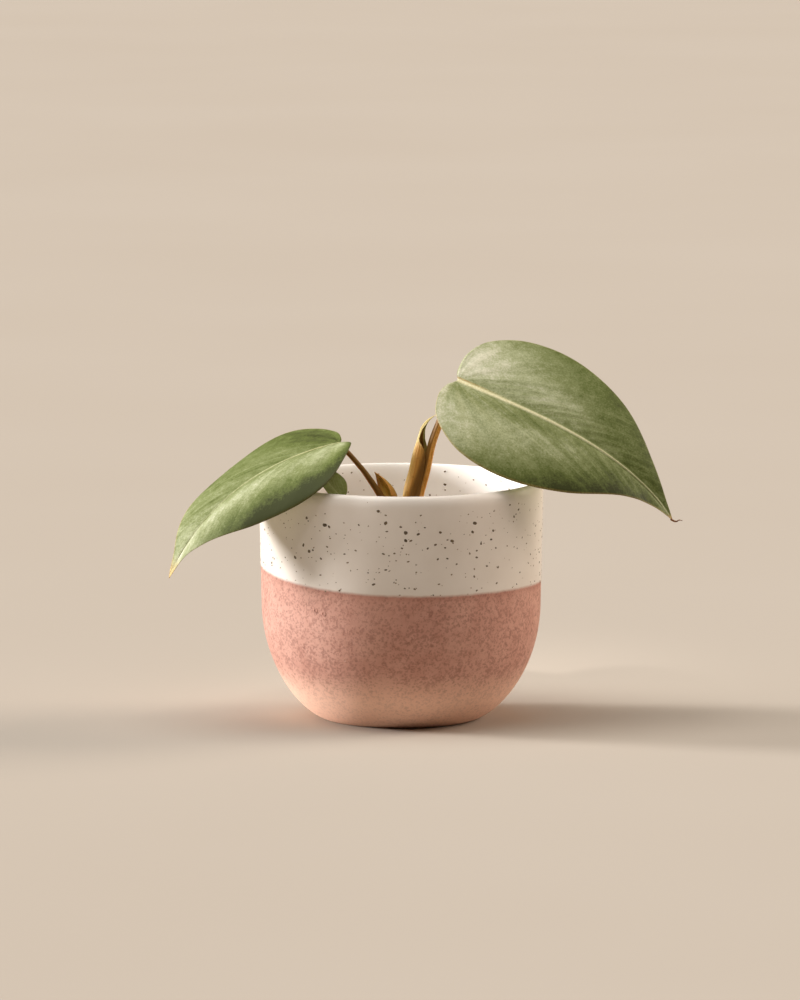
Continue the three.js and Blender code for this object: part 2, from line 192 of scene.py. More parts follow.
def sheet(middle, normal, above, below, rim):
    """A closed thin sheet round a grid of points, with a rounded rim.

    Returns the body, a function that picks each point's value from a grid of values, and 1 for
    each point on the lower side, 0 for the others.
    """
    rows, columns = middle.shape[:2]
    flat = middle.reshape(-1, 3)
    # Grid points in the same place become one
    keys = {}
    grid = [keys.setdefault(tuple(p), k) for k, p in enumerate(np.round(flat, 4))]
    kept = np.array(sorted(set(grid)))
    index = np.searchsorted(kept, grid).reshape(rows, columns)
    count = len(kept)

    corners = np.stack([index[:-1, :-1], index[:-1, 1:], index[1:, 1:], index[1:, :-1]], axis=-1)
    top_faces = []
    for four in corners.reshape(-1, 4).tolist():
        face = tuple(c for k, c in enumerate(four) if c != four[k - 1])
        if len(set(face)) > 2:
            top_faces.append(face)
    centre, n = flat[kept], normal.reshape(-1, 3)[kept]
    a, b, c = top_faces[len(top_faces) // 2][:3]
    if np.dot(np.cross(centre[b] - centre[a], centre[c] - centre[a]), n[a]) < 0:
        top_faces = [face[::-1] for face in top_faces]

    edges = {(face[k - 1], b) for face in top_faces for k, b in enumerate(face)}
    border = sorted(edge for edge in edges if edge[::-1] not in edges)
    away = np.zeros_like(centre)
    for a, b in border:
        push = np.cross(centre[b] - centre[a], n[a])
        away[[a, b]] += push / max(np.linalg.norm(push), TINY)
    ring = sorted({a for a, _ in border})
    rim_index = {a: 2 * count + i for i, a in enumerate(ring)}
    away = away[ring] / np.maximum(np.linalg.norm(away[ring], axis=1, keepdims=True), TINY)

    source = np.concatenate([kept, kept, kept[ring]])

    def pick(values):
        return np.broadcast_to(values, (rows, columns)).reshape(-1)[source]

    up, down = pick(above)[:count, None], pick(below)[:count, None]
    points = np.vstack([centre + n * up, centre - n * down, centre[ring] + away * rim])
    faces = top_faces + [tuple(c + count for c in face[::-1]) for face in top_faces]
    for a, b in border:
        faces.append((b, a, rim_index[a], rim_index[b]))
        faces.append((rim_index[b], rim_index[a], a + count, b + count))
    return (points, faces), pick, np.repeat([0.0, 1.0, 0.0], [count, count, len(ring)])


def limb(points, radii, steps, sides, facing, shape=None):
    """Rings of a round stem, each starting on the side that looks towards facing.

    Returns the rings and, for each of their points, how far along and how far round it is.
    """
    line = even(spline(points, SPLINE_STEPS * len(points)), steps + 1)
    u, turn = np.meshgrid(np.linspace(0, 1, steps + 1), turns(sides), indexing="ij")
    radius = blend(radii, u)
    if shape is not None:
        radius = radius * shape(u, turn)
    rings = line[:, None] + radius[..., None] * fan_out(across_line(line, facing), turn)
    return rings, u, turn


def linked(name, data):
    """A new object in the scene."""
    made = bpy.data.objects.new(name, data)
    bpy.context.scene.collection.objects.link(made)
    return made


def piece(name, body, material, slot, node=None, **attributes):
    """An object made of a body of points, in millimetres, and faces. It rides with the plant."""
    points, faces = body
    mesh = bpy.data.meshes.new(name)
    mesh.from_pydata((points * MM).tolist(), [], faces)
    for key, values in attributes.items():
        values = np.asarray(values, np.float32)
        kind, field = ("FLOAT", "value") if values.ndim == 1 else ("FLOAT_VECTOR", "vector")
        mesh.attributes.new(key, kind, "POINT").data.foreach_set(field, values.ravel())
    mesh.materials.append(material)
    mesh.shade_smooth()
    made = linked(name, mesh)
    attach(made, "root")
    if node:
        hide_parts(node)
    return made


def joined(bodies):
    """Several bodies as one, and which of them each point is from."""
    faces, owner = [], []
    for k, (points, body_faces) in enumerate(bodies):
        faces += [tuple(c + len(owner) for c in face) for face in body_faces]
        owner += [k] * len(points)
    return (np.vstack([points for points, _ in bodies]), faces), np.array(owner)


# Materials


def linear(red, green, blue):
    """A display colour, 0 to 255, as the shader's linear colour."""
    values = [v / 255 for v in (red, green, blue)]
    return tuple(v / 12.92 if v < 0.04045 else ((v + 0.055) / 1.055) ** 2.4 for v in values)


class Finish:
    """A node material with one Principled shader. Colours are as on a display, 0 to 255."""

    def __init__(self, name, **settings):
        self.material = bpy.data.materials.new(name)
        self.material.use_nodes = True
        self.tree = self.material.node_tree
        self.shader = self.tree.nodes["Principled BSDF"]
        for key, value in settings.items():
            self.feed(self.shader.inputs[key.replace("_", " ")], value)
        self.place = self.node("TexCoord").outputs["Object"]

    def feed(self, socket, value):
        """Links or sets an input."""
        if isinstance(value, bpy.types.NodeSocket):
            self.tree.links.new(value, socket)
        else:
            socket.default_value = (*linear(*value), 1) if socket.type == "RGBA" else value

    def node(self, kind, inputs=None, **settings):
        made = self.tree.nodes.new("ShaderNode" + kind)
        for key, value in settings.items():
            setattr(made, key, value)
        for key, value in (inputs or {}).items():
            self.feed(made.inputs[key], value)
        return made

    def number(self, name):
        """A point attribute of one number."""
        return self.node("Attribute", attribute_name=name).outputs["Fac"]

    def numbers(self, name):
        """The parts of a point attribute of three numbers."""
        return self.split(self.node("Attribute", attribute_name=name).outputs["Vector"])

    def split(self, vector):
        return self.node("SeparateXYZ", {0: vector}).outputs

    def math(self, operation, *values):
        return self.node("Math", dict(enumerate(values)), operation=operation).outputs[0]

    plus = partialmethod(math, "ADD")
    minus = partialmethod(math, "SUBTRACT")
    times = partialmethod(math, "MULTIPLY")
    line = partialmethod(math, "MULTIPLY_ADD")  # of a value, a slope and what is added

    def sway(self, value, wave, reach):
        """A value pushed up and down by a noise in 0..1."""
        return self.line(self.minus(wave, 0.5), reach, value)

    def step(self, value, low, high, to=(0.0, 1.0)):
        """A soft step as value goes from low to high."""
        inputs = dict(enumerate((value, low, high, *to)))
        return self.node("MapRange", inputs, interpolation_type="SMOOTHSTEP").outputs[0]

    def noise(self, scale, detail=2.0, roughness=0.5, at=None):
        """Noise over the object, or over other coordinates."""
        at = self.place if at is None else at
        inputs = {"Vector": at, "Scale": scale, "Detail": detail, "Roughness": roughness}
        return self.node("TexNoise", inputs).outputs["Fac"]

    def streaks(self, x, y, scale, detail, roughness, shift=(0, 0, 0), z=0.0):
        """Noise drawn out over coordinates of the surface's own."""
        at = self.node("CombineXYZ", {0: x, 1: y, 2: z}).outputs[0]
        return self.noise(1.0, detail, roughness, self.moved(at, (*scale, 1), shift))

    def moved(self, vector, scale, shift):
        inputs = {"Vector": vector, "Scale": scale, "Location": shift}
        return self.node("Mapping", inputs).outputs["Vector"]

    def warped(self, scale, reach):
        """Coordinates pushed about by noise, so that what is drawn on them turns ragged."""
        push = self.node("TexNoise", {"Vector": self.place, "Scale": scale}).outputs["Color"]
        push = self.node("VectorMath", {0: push, 1: (0.5, 0.5, 0.5)}, operation="SUBTRACT")
        inputs = {0: push.outputs[0], 1: (reach, reach, reach), 2: self.place}
        return self.node("VectorMath", inputs, operation="MULTIPLY_ADD").outputs[0]

    def cells(self, scale, at):
        return self.node("TexVoronoi", {"Vector": at, "Scale": scale}).outputs["Distance"]

    def ramp(self, value, stops):
        """A colour from stops of (place, red, green, blue)."""
        made = self.node("ValToRGB", {"Fac": value})
        elements = made.color_ramp.elements
        while len(elements) < len(stops):
            elements.new(0.5)
        for element, (at, *colour) in zip(elements, stops):
            element.position = at
            element.color = (*linear(*colour), 1)
        return made.outputs["Color"]

    def mix(self, share, first, second):
        return self.node("Mix", {0: share, 6: first, 7: second}, data_type="RGBA").outputs[2]

    def fade(self, value, low, high, first, second):
        """From the first colour to the second as value goes from low to high."""
        return self.mix(self.step(value, low, high), first, second)

    def done(self, colour, roughness=None, bump=None):
        """The finished material. A bump is its height, its distance and its strength."""
        if bump is not None:
            inputs = dict(zip(("Height", "Distance", "Strength"), bump))
            bump = self.node("Bump", inputs).outputs["Normal"]
        for key, value in ("Base Color", colour), ("Roughness", roughness), ("Normal", bump):
            if value is not None:
                self.feed(self.shader.inputs[key], value)
        return self.material


def pot_material():
    """Cream glaze over a matte pink body, with a soft line between them."""
    f = Finish("Pot", Specular_IOR_Level=0.5)
    above_line = f.number("glaze")
    wobble = f.line(f.noise(260), 0.7, -0.35)
    glazed = f.step(f.plus(above_line, wobble), -0.8, 0.8)

    # The glaze: warm cream, faintly clouded, whiter inside, with small tan freckles. The whiter
    # inside is painted light.
    cloud = f.noise(45, 3, 0.6)
    cream = f.fade(cloud, 0.3, 0.7, (231, 221, 210), (237, 228, 218))
    # Painted light: the pot's inside is made whiter to stand in for light bouncing round in it
    cream = f.fade(above_line, INSIDE - 15, INSIDE - 5, cream, (252, 247, 241))
    freckle_size = f.step(f.noise(130), 0.42, 0.72, (0.0, 0.15))
    freckle = f.step(f.minus(freckle_size, f.cells(420, f.place)), 0.0, 0.08)
    cream = f.mix(f.times(freckle, 0.8), cream, (158, 128, 100))

    # The body: dusty pink, thickly mottled with darker rose-brown; paler and less mottled at the
    # foot, which is painted light bounced up from the floor
    haze = f.noise(60, 4, 0.65)
    pink = f.fade(haze, 0.3, 0.72, (216, 164, 146), (199, 145, 127))
    patch = f.step(f.noise(42), 0.32, 0.64, (0.72, 1.0))
    ragged = f.warped(700, 0.0018)
    spots = f.times(f.step(f.noise(560, 4, 0.72, ragged), 0.5, 0.66), patch)
    grain_size = f.times(f.step(f.noise(200), 0.3, 0.7, (0.26, 0.58)), patch)
    grains = f.step(f.minus(grain_size, f.cells(850, ragged)), -0.16, 0.24)
    mottle = f.math("MAXIMUM", spots, f.times(grains, 0.7))
    # Painted light: the foot is paler and less mottled, standing in for light thrown up from the
    # floor
    foot = f.step(f.split(f.place)[2], 0.025, 0.009)
    pink = f.mix(foot, pink, (255, 209, 184))
    mottle = f.times(mottle, f.line(foot, -0.6, 1.0))
    pink = f.mix(f.times(mottle, 0.58), pink, (124, 72, 58))
    fleck = f.step(f.cells(150, f.moved(f.place, (1, 1, 1), (0.3, 0.1, 0.7))), 0.055, 0.03)
    pink = f.mix(f.times(fleck, 0.5), pink, (236, 202, 186))
    # A darker line just under the glaze
    pink = f.mix(f.times(f.step(above_line, -3.2, -0.4), 0.3), pink, (158, 98, 80))

    satin = f.line(cloud, 0.1, 0.3)
    matte = f.line(haze, 0.14, 0.7)
    roughness = f.line(glazed, f.minus(satin, matte), matte)
    grain = f.plus(f.noise(1500, 3, 0.7), f.times(mottle, -0.5))
    grain = f.times(grain, f.minus(1.0, glazed))
    wave = f.times(f.noise(130, 1), 0.3)
    height = f.plus(f.plus(grain, wave), f.times(glazed, 0.8))
    return f.done(f.mix(glazed, pink, cream), roughness, (height, 0.00014, 0.6))


def speck_material():
    """Iron specks burnt into the glaze."""
    f = Finish("Specks", Specular_IOR_Level=0.5)
    shade = f.noise(600)
    dark = f.fade(shade, 0.35, 0.65, (84, 70, 52), (118, 100, 74))
    return f.done(f.mix(f.number("tint"), dark, (160, 132, 104)), f.line(shade, 0.2, 0.35))


TONE_PLACES = 0.0, 0.25, 0.48, 0.7, 1.0


def leaf_material(name, tones, streak, under):
    """A velvety blade. tones go from the darkest green to cream."""
    f = Finish(
        name, Specular_IOR_Level=0.2,
        Sheen_Weight=0.03, Sheen_Roughness=0.45, Sheen_Tint=(225, 232, 205),
    )
    vein, across, _ = f.numbers("vein")
    tone, rib, tan = f.numbers("zone")
    broad = f.streaks(vein, across, (9.5, 1.1), 2, 0.5)
    narrow = f.streaks(vein, across, (34, 1.6), 3, 0.6, (3, 1, 0))
    fine = f.streaks(vein, across, (120, 3), 2, 0.6, (7, 5, 0))
    fleck = f.noise(1300, 3, 0.7)
    patchy = f.noise(260, 3, 0.6)
    for wave, reach in (broad, streak), (narrow, 0.5 * streak), (fine, 0.22 * streak):
        tone = f.sway(tone, wave, reach)
    tone = f.sway(f.sway(tone, patchy, 0.4), fleck, 0.55)
    colour = f.ramp(tone, [(at, *c) for at, c in zip(TONE_PLACES, tones)])

    colour = f.mix(f.number("under"), colour, f.fade(narrow, 0.3, 0.7, *under))
    colour = f.mix(rib, colour, f.fade(fleck, 0.3, 0.7, (210, 202, 154), (234, 229, 190)))
    colour = f.mix(tan, colour, f.fade(fleck, 0.35, 0.65, (176, 134, 84), (210, 188, 118)))
    height = f.plus(fleck, f.times(fine, 1.4))
    return f.done(colour, f.line(narrow, 0.16, 0.5), (height, 0.00007, 0.55))


def stalk_material(name, stripe_and_shade_width, fade):
    """A satin stalk: orange-brown, with a dark stripe, partly painted shade, down its upper side.
    """
    f = Finish(name, Specular_IOR_Level=0.25)
    along, turn, _ = f.numbers("stem")
    grain = f.streaks(along, turn, (5, 14), 3, 0.65)
    body = f.ramp(
        f.line(f.noise(1100, 2, 0.6), 0.5, f.times(grain, 0.6)),
        [(0.25, 190, 118, 42), (0.52, 226, 158, 72), (0.8, 244, 198, 122)],
    )
    # The dark stripe lies along the groove: partly the stalk's own darker colour, partly painted
    # shade
    reach = f.sway(f.math("ABSOLUTE", turn), grain, 0.22)
    dark = f.step(reach, stripe_and_shade_width + 0.1, stripe_and_shade_width - 0.06)
    dark = f.times(dark, f.step(along, fade[1], fade[0]))
    colour = f.mix(f.times(dark, 0.92), body, (116, 82, 34))
    return f.done(colour, f.line(grain, 0.25, 0.48), (grain, 0.00012, 0.5))


def husk_material(name):
    """A dry sheath, fibrous, with its own inside, outside and rim, and a band of painted shade."""
    outer, inner, rim, paler_tip = HUSKS[name]
    f = Finish(name, Specular_IOR_Level=0.3)
    along, across, inside = f.numbers("husk")
    grain = f.streaks(along, across, (1.6, 16), 4, 0.7, z=inside)
    skin = f.ramp(f.sway(across, grain, 0.5), outer)
    skin = f.mix(f.times(f.step(f.noise(900), 0.5, 0.75), 0.35), skin, (132, 88, 40))
    tip = f.times(f.step(along, 0.45, 0.66), paler_tip)
    skin = f.mix(tip, skin, f.fade(grain, 0.3, 0.7, (222, 212, 150), (196, 174, 104)))
    colour = f.mix(inside, skin, f.fade(grain, 0.35, 0.65, *inner))
    colour = f.mix(f.number("brim"), colour, f.fade(grain, 0.4, 0.6, *rim))
    # Painted shade: a dark band on the outside by the sheath's wrapped edge stands in for the
    # shadowed gap between the sheath and the stalk
    band = f.times(f.number("band"), 0.9)
    colour = f.mix(band, colour, f.fade(grain, 0.3, 0.7, (104, 72, 26), (134, 94, 40)))
    return f.done(colour, f.line(grain, 0.25, 0.45), (grain, 0.00016, 0.7))


# Rough plant matter: the scale of its grain, the depth of its bump, and its colours
BARKS = {
    "Rhizome": (420, 0.0003, [
        (0.05, 52, 38, 20), (0.4, 98, 86, 44), (0.7, 128, 126, 70), (1.0, 160, 150, 98),
    ]),
    "Root": (700, 0.0002, [
        (0.1, 112, 84, 52), (0.45, 168, 138, 98), (0.75, 196, 172, 132), (1.0, 214, 198, 162),
    ]),
    "Mix": (900, 0.0006, [
        (0.0, 40, 27, 17), (0.35, 70, 49, 31), (0.65, 104, 76, 50), (1.0, 140, 108, 74),
    ]),
    "BarkChips": (620, 0.0004, [
        (0.0, 70, 43, 24), (0.35, 122, 80, 46), (0.65, 164, 116, 70), (1.0, 200, 158, 108),
    ]),
    "Perlite": (900, 0.0005, [(0.0, 176, 164, 146), (0.5, 214, 206, 192), (1.0, 238, 234, 226)]),
    "Fibre": (900, 0.0002, [(0.0, 92, 58, 32), (0.5, 140, 98, 58), (1.0, 182, 142, 92)]),
}


def bark_material(name):
    """Rough plant matter that varies from piece to piece."""
    scale, depth, colours = BARKS[name]
    f = Finish(name, Specular_IOR_Level=0.25)
    grain = f.noise(scale, 4, 0.7)
    colour = f.ramp(f.sway(f.number("tint"), grain, 0.7), colours)
    return f.done(colour, f.line(grain, 0.2, 0.72), (grain, depth, 0.8))


# The pot

POT_HEIGHT = 92.7
POT_RADIUS = 55.0
WALL = 3.7
LIP_CREST = 52.6  # radius of the highest ring of the lip
LIP_OUTSIDE = 4.6  # how far down the lip is rounded on each side
LIP_INSIDE = 6.5
LIP_STEPS = 28
BOWL_TOP = 45.5
BOWL_RADIUS = 54.2
FOOT_RADIUS = 29.0
FLOOR = 5.0
BOWL_POWER = 4 / 3
BOWL_RINGS = 37
WALL_STEPS, INNER_WALL_STEPS = 64, 26
POT_SEGMENTS = 288
GLAZE_DEPTH = 0.12
GLAZE_EDGE = 1.2  # over how much height the glaze thins out at its edge
INSIDE = 60.0  # stands for "how far above the glaze's edge" on the inside

# The largest specks on the front of the glaze: angle, height, radius
LARGE_SPECKS = [
    (238, 80.9, 0.8), (301, 81.7, 0.74), (264, 82.7, 0.68), (272, 79.0, 0.7),
    (272, 76.0, 0.62), (291, 75.4, 0.62), (222, 67.2, 0.66), (230, 70.2, 0.64),
    (227, 72.4, 0.58), (261, 87.2, 0.56), (300, 78.4, 0.56), (277, 78.4, 0.52),
    (286, 78.9, 0.52), (310, 78.2, 0.5), (259, 59.0, 0.54), (240, 80.4, 0.5),
    (274, 75.9, 0.46), (309, 74.9, 0.46), (325, 85.0, 0.46), (322, 82.6, 0.46),
    (236, 67.8, 0.46), (302, 68.5, 0.45), (284, 74.2, 0.46), (263, 70.8, 0.44),
]
MIDDLING_SPECKS = [
    (264, 85.7), (270, 81.2), (304, 73.6), (302, 71.1), (264, 64.7), (301, 61.2),
    (313, 63.9), (307, 64.8), (293, 66.4), (289, 68.7), (285, 68.6), (229, 82.8),
    (232, 70.8), (239, 72.6), (253, 81.7), (289, 75.9), (288, 72.9), (278, 85.6),
]
SPECK_SEED = 11
LARGE_SCALE = 1.16
MIDDLING_RADII = 0.38, 0.5
RANDOM_SPECKS = 620
INSIDE_SPECKS = 190
HIGHEST_SPECK = 87.5
DISC_SIDES = 10
DISC_RINGS = (1.0, -0.04), (0.8, 0.035), (0.4, 0.06)  # share of the radius, and height


def bowl(t, inset, floor):
    """The bowl's profile from its foot, t = 0, to its top, t = pi / 2."""
    foot, top = FOOT_RADIUS - inset, BOWL_RADIUS - inset
    radius = foot + (top - foot) * np.sin(t) ** BOWL_POWER
    return np.stack([radius, floor + (BOWL_TOP - floor) * (1 - np.cos(t))], axis=1)


def glaze_line(angle):
    """The height of the glaze's edge, which dips and tilts a little."""
    dip = 56.0 - 3.1 * np.cos(angle) + 0.6 * np.sin(angle)
    return dip + 0.95 * np.cos(2 * angle) - 0.94 * np.sin(2 * angle)


def glaze_relief(above_line):
    """How far the glaze stands out from the middle of its edge."""
    return GLAZE_DEPTH * (smooth(above_line / GLAZE_EDGE + 0.5) - 0.5)


def hand_made(angle, height):
    """How far the wall strays from a true circle."""
    return (
        0.14 * np.cos(angle) - 0.14
        + 0.08 * np.cos(2 * angle + 0.8)
        + 0.06 * np.cos(3 * angle - 0.5 + height / 40)
        + 0.04 * np.cos(5 * angle + height / 17)
    )


def outer_radius(height):
    """The pot's outside radius at a height, up to where the lip starts."""
    t = math.acos(np.clip(1 - height / BOWL_TOP, 0, 1))
    if height < BOWL_TOP:
        return FOOT_RADIUS + (BOWL_RADIUS - FOOT_RADIUS) * math.sin(t) ** BOWL_POWER
    slope = (POT_RADIUS - BOWL_RADIUS) / (POT_HEIGHT - LIP_OUTSIDE - BOWL_TOP)
    return BOWL_RADIUS + slope * (height - BOWL_TOP)


def build_pot():
    around = np.linspace(0, math.pi, LIP_STEPS + 1)
    past_crest = np.arange(len(around)) > LIP_STEPS // 2
    width = np.where(past_crest, LIP_CREST - POT_RADIUS + WALL, POT_RADIUS - LIP_CREST)
    drop = np.where(past_crest, LIP_INSIDE, LIP_OUTSIDE)
    lip = np.stack(
        [LIP_CREST + width * np.cos(around), POT_HEIGHT - drop * (1 - np.sin(around))], axis=1
    )
    # The rings lie closer together towards the foot
    t = np.linspace(0, math.pi / 2, BOWL_RINGS) ** 1.3 / (math.pi / 2) ** 0.3
    outside, inside = bowl(t, 0, 0), bowl(t[::-3], WALL, FLOOR)
    wall = np.linspace(outside[-1], lip[0], WALL_STEPS + 1)[1:-1]
    inner_wall = np.linspace(lip[-1], inside[0], INNER_WALL_STEPS + 1)[1:-1]
    profile = np.vstack([outside, wall, lip, inner_wall, inside])
    crest = len(outside) + len(wall) + LIP_STEPS // 2
    is_inside = np.arange(len(profile))[:, None] > crest

    angle = turns(POT_SEGMENTS)
    radius, height = profile[:, :1], profile[:, 1:]
    above_line = np.where(is_inside, INSIDE, height - glaze_line(angle))
    swell = hand_made(angle, height) * smooth(height / 20)
    swell = swell + np.where(is_inside, 0.0, glaze_relief(above_line))
    height = height + 0.15 * np.cos(3 * angle + 1) * smooth((height - 86) / 6)
    body = closed(lathe(radius + swell, height, angle))
    material = pot_material()
    piece("pot", body, material, "glaze", "planter", glaze=with_ends(above_line))
    build_specks()
    build_blisters(material)


def on_wall(angle, height, inner=False):
    """A point on the pot's wall, and the directions out of it, round it and up it."""
    out = np.array([math.cos(angle), math.sin(angle), 0])
    round_it = np.array([-math.sin(angle), math.cos(angle), 0])
    up = np.array(UP)
    radius = float(outer_radius(height)) + float(hand_made(angle, height))
    if inner:
        return out * (radius - WALL) + up * height, -out, -round_it, up
    radius += float(glaze_relief(height - float(glaze_line(angle))))
    return out * radius + up * height, out, round_it, up


def disc(angle, height, radius, inner, rng):
    """A small flat dome with a ragged edge, on the wall."""
    place, out, round_it, up = on_wall(angle, height, inner)
    stretch = rng.uniform(0.8, 1.25)
    lean = rng.uniform(0, math.pi)
    points = []
    for share, lift in DISC_RINGS:
        for k in range(DISC_SIDES):
            a = TURN * k / DISC_SIDES
            ragged = 1 + 0.22 * math.sin(2 * a + lean) + rng.uniform(-0.12, 0.12) * share
            size = radius * share * ragged
            x, z = size * math.cos(a) * stretch, size * math.sin(a) / stretch
            curve = x * x / (2 * POT_RADIUS) * (1 if inner else -1)
            points.append(place + round_it * x + up * z + out * (lift + curve))
    return closed(np.array(points).reshape(len(DISC_RINGS), DISC_SIDES, 3))


def build_specks():
    rng = random.Random(SPECK_SEED)
    discs, tints = [], []

    def add(angle, height, radius, inner=False, is_random=True):
        discs.append(disc(angle, height, radius, inner, rng))
        paler = 0.9 if radius < 0.4 else 0.3
        tints.append(rng.random() * paler if is_random else 0.0)

    for angle, height, radius in LARGE_SPECKS:
        add(angle * DEGREE, height, LARGE_SCALE * radius, is_random=False)
    for angle, height in MIDDLING_SPECKS:
        add(angle * DEGREE, height, rng.uniform(*MIDDLING_RADII), is_random=False)
    for _ in range(RANDOM_SPECKS):
        angle = rng.uniform(0, 360)
        height = float(glaze_line(angle * DEGREE)) + rng.uniform(-1.0, 34.0)
        # The front already has its large ones
        largest = 0.46 if 205 < angle < 345 else 0.78
        radius = 0.17 + (largest - 0.17) * rng.random() ** 2
        if height < HIGHEST_SPECK:
            add(angle * DEGREE, height, radius)
    for _ in range(INSIDE_SPECKS):
        radius = 0.18 + 0.4 * rng.random() ** 2
        add(rng.uniform(0, TURN), rng.uniform(75, 90), radius, inner=True)
    body, owner = joined(discs)
    piece("glaze_specks", body, speck_material(), "glaze", tint=np.array(tints)[owner])


def build_blisters(material):
    """Two tiny ring-shaped bumps in the pink body."""
    steps, sides = 20, 8
    a, b = turns(steps)[:, None], turns(sides)
    spread = 0.8 + 0.16 * np.cos(b)
    x, z = spread * np.cos(a), spread * np.sin(a)
    lift = 0.13 * np.sin(b) - x**2 / (2 * POT_RADIUS)
    bumps = []
    for angle, height in ((233, 47.6), (237, 46.6)):
        place, out, round_it, up = on_wall(angle * DEGREE, height)
        torus = place + x[..., None] * round_it + z[..., None] * up + lift[..., None] * out
        points = torus.reshape(-1, 3)
        bumps.append((points, outward(points, quads(steps, sides, looped=True))))
    body, owner = joined(bumps)
    piece("body_blisters", body, material, "glaze", glaze=np.full(len(owner), -8.0))


# The leaves

BLADE_OUTLINE = np.array(
    [
        [0, 0], [-0.023, 0.135], [-0.025, 0.42], [0.026, 0.74], [0.154, 1],
        [0.346, 1], [0.587, 0.74], [0.79, 0.315], [0.896, 0.12], [1, 0],
    ]
)
FAN_START = 0.04  # where on the margin, from 0 at the stalk to 1 at the tip, the grid starts
FAN_END = 0.3  # up to here, the grid's lines all leave the midrib at the stalk
VEIN_SLANT = 1.15
LOBE_DROOP = 0.002  # the curvature of the lobes behind the stalk
MIDRIB_STEPS = 80
BLADE_HALF = 0.22  # half the blade's thickness
BLADE_RIM = 0.08  # how far its rounded rim stands out
VEINS = 13
FULL_HALF_WIDTH = 36.5  # fine shapes are given for the larger leaf, and scaled for the others

# Each leaf's pale and dark zones are given as: how far along, how far out (+ is the left side),
# how long and how wide the zone is, as fractions of the leaf, and how much paler it is. They mix
# the blade's own pale and dark patches with painted light and shade: the pale lobes by the stalk
# are partly painted light, and the dark zones along curling margins and towards the tips are
# painted shade.
LEAVES = {
    "right": dict(
        base=[22.1, -5.9, 131.7], length=100.6, half_width=36.5,
        pitch=[-21.4, 3.6, -38.9], heading=[-14.4, 19.2], roll=[30.9, 20.5],
        fold=[-9.9, -10.5], curl=[0.0094, 0.0086], curl_growth=[0.0066, 0.0066],
        rows=150, columns=44, rib_depth=0.8, rib_width=1.15, rib_strength=1.0,
        tone=0.48, dry_tip=0.035,
        zones=[
            (-0.02, 0.62, 0.16, 0.6, 0.4), (0.2, 0.25, 0.3, 0.22, 0.14),
            (0.36, 0.38, 0.16, 0.22, 0.16), (0.1, -0.6, 0.16, 0.35, 0.16),
            (0.26, -0.17, 0.2, 0.13, -0.2), (0.0, -0.95, 0.2, 0.35, 0.36),
            # The dark zone along the right-hand margin, 0.55 along, and the dark zones towards the
            # tip are painted shade where the blade curls away from the light
            (0.42, -0.35, 0.3, 0.25, 0.12), (0.55, -1.0, 0.5, 0.24, -0.34),
            (0.78, -0.6, 0.3, 0.5, -0.28), (0.8, 0.6, 0.35, 0.5, -0.26),
            (0.45, 1.0, 0.5, 0.2, -0.14), (0.96, 0.0, 0.07, 1.0, 0.2),
        ],
    ),
    "left": dict(
        base=[-23.8, -13.9, 108.4], length=87.5, half_width=33.9,
        pitch=[-10.8, -43.1, -11.2], heading=[191.8, 12.2], roll=[-1.6, -13.4],
        fold=[-14.1, -8.1], curl=[0.0185, 0.0011], curl_growth=[0.0263, 0.0347],
        rows=150, columns=44, rib_depth=0.7, rib_width=0.8, rib_strength=0.5,
        tone=0.43, dry_tip=0.11,
        zones=[
            (0.95, 0.0, 0.3, 1.2, 0.26), (0.55, 0.3, 0.4, 0.2, 0.18),
            # The deep dark zone along the left-hand margin, 0.34 along, is painted shade where the
            # near half curls under, away from the light
            (0.6, -0.35, 0.35, 0.3, 0.08), (0.34, 1.0, 0.4, 0.27, -0.72),
            (0.0, -0.4, 0.2, 0.5, -0.26), (0.2, -0.95, 0.3, 0.3, -0.1),
            (0.46, -0.45, 0.34, 0.45, -0.14), (0.25, 0.4, 0.3, 0.2, 0.08),
            # The pale zone 0.93 along on the left side is painted light on the curled tip's shaded
            # near side
            (0.02, 0.6, 0.14, 0.35, 0.12), (0.93, 0.95, 0.16, 0.42, 0.24),
        ],
    ),
    "small": dict(
        base=[-22.9, -18.9, 87.6], length=18, half_width=7.4,
        pitch=[54, -20, 0], heading=[196, 0], roll=[-42, 0],
        fold=[-16, -16], curl=[0.015, 0.015], curl_growth=[0, 0],
        rows=60, columns=18, rib_depth=0.35, rib_width=0.3, rib_strength=0.3,
        tone=0.42, dry_tip=0.035,
        zones=[(0.5, 0.0, 0.5, 0.2, 0.2)],
    ),
}


def station(leaf, along):
    """Places along the midrib, or back behind the stalk, with the left and the upper side."""
    at = np.linspace(0, 1, MIDRIB_STEPS + 1)
    pitch, heading, roll = (
        np.polyval(leaf[key][::-1], at) * DEGREE for key in ("pitch", "heading", "roll")
    )
    ahead = np.stack(
        [np.cos(pitch) * np.cos(heading), np.cos(pitch) * np.sin(heading), np.sin(pitch)], axis=1
    )
    level = np.stack([-np.sin(heading), np.cos(heading), 0 * at], axis=1)
    left = level * np.cos(roll)[:, None] + np.cross(ahead, level) * np.sin(roll)[:, None]
    steps = (ahead[1:] + ahead[:-1]) / 2 * leaf["length"] / MIDRIB_STEPS
    place = np.array(leaf["base"]) + np.vstack([np.zeros(3), np.cumsum(steps, axis=0)])
    u = np.clip(along / leaf["length"], 0, 1)
    place, ahead, left, up = (
        np.stack([np.interp(u, at, values[:, k]) for k in range(3)], axis=-1)
        for values in (place, ahead, left, np.cross(ahead, left))
    )
    back = np.minimum(along, 0)[..., None]
    return place + ahead * back - up * LOBE_DROOP / 2 * back * back, left, up


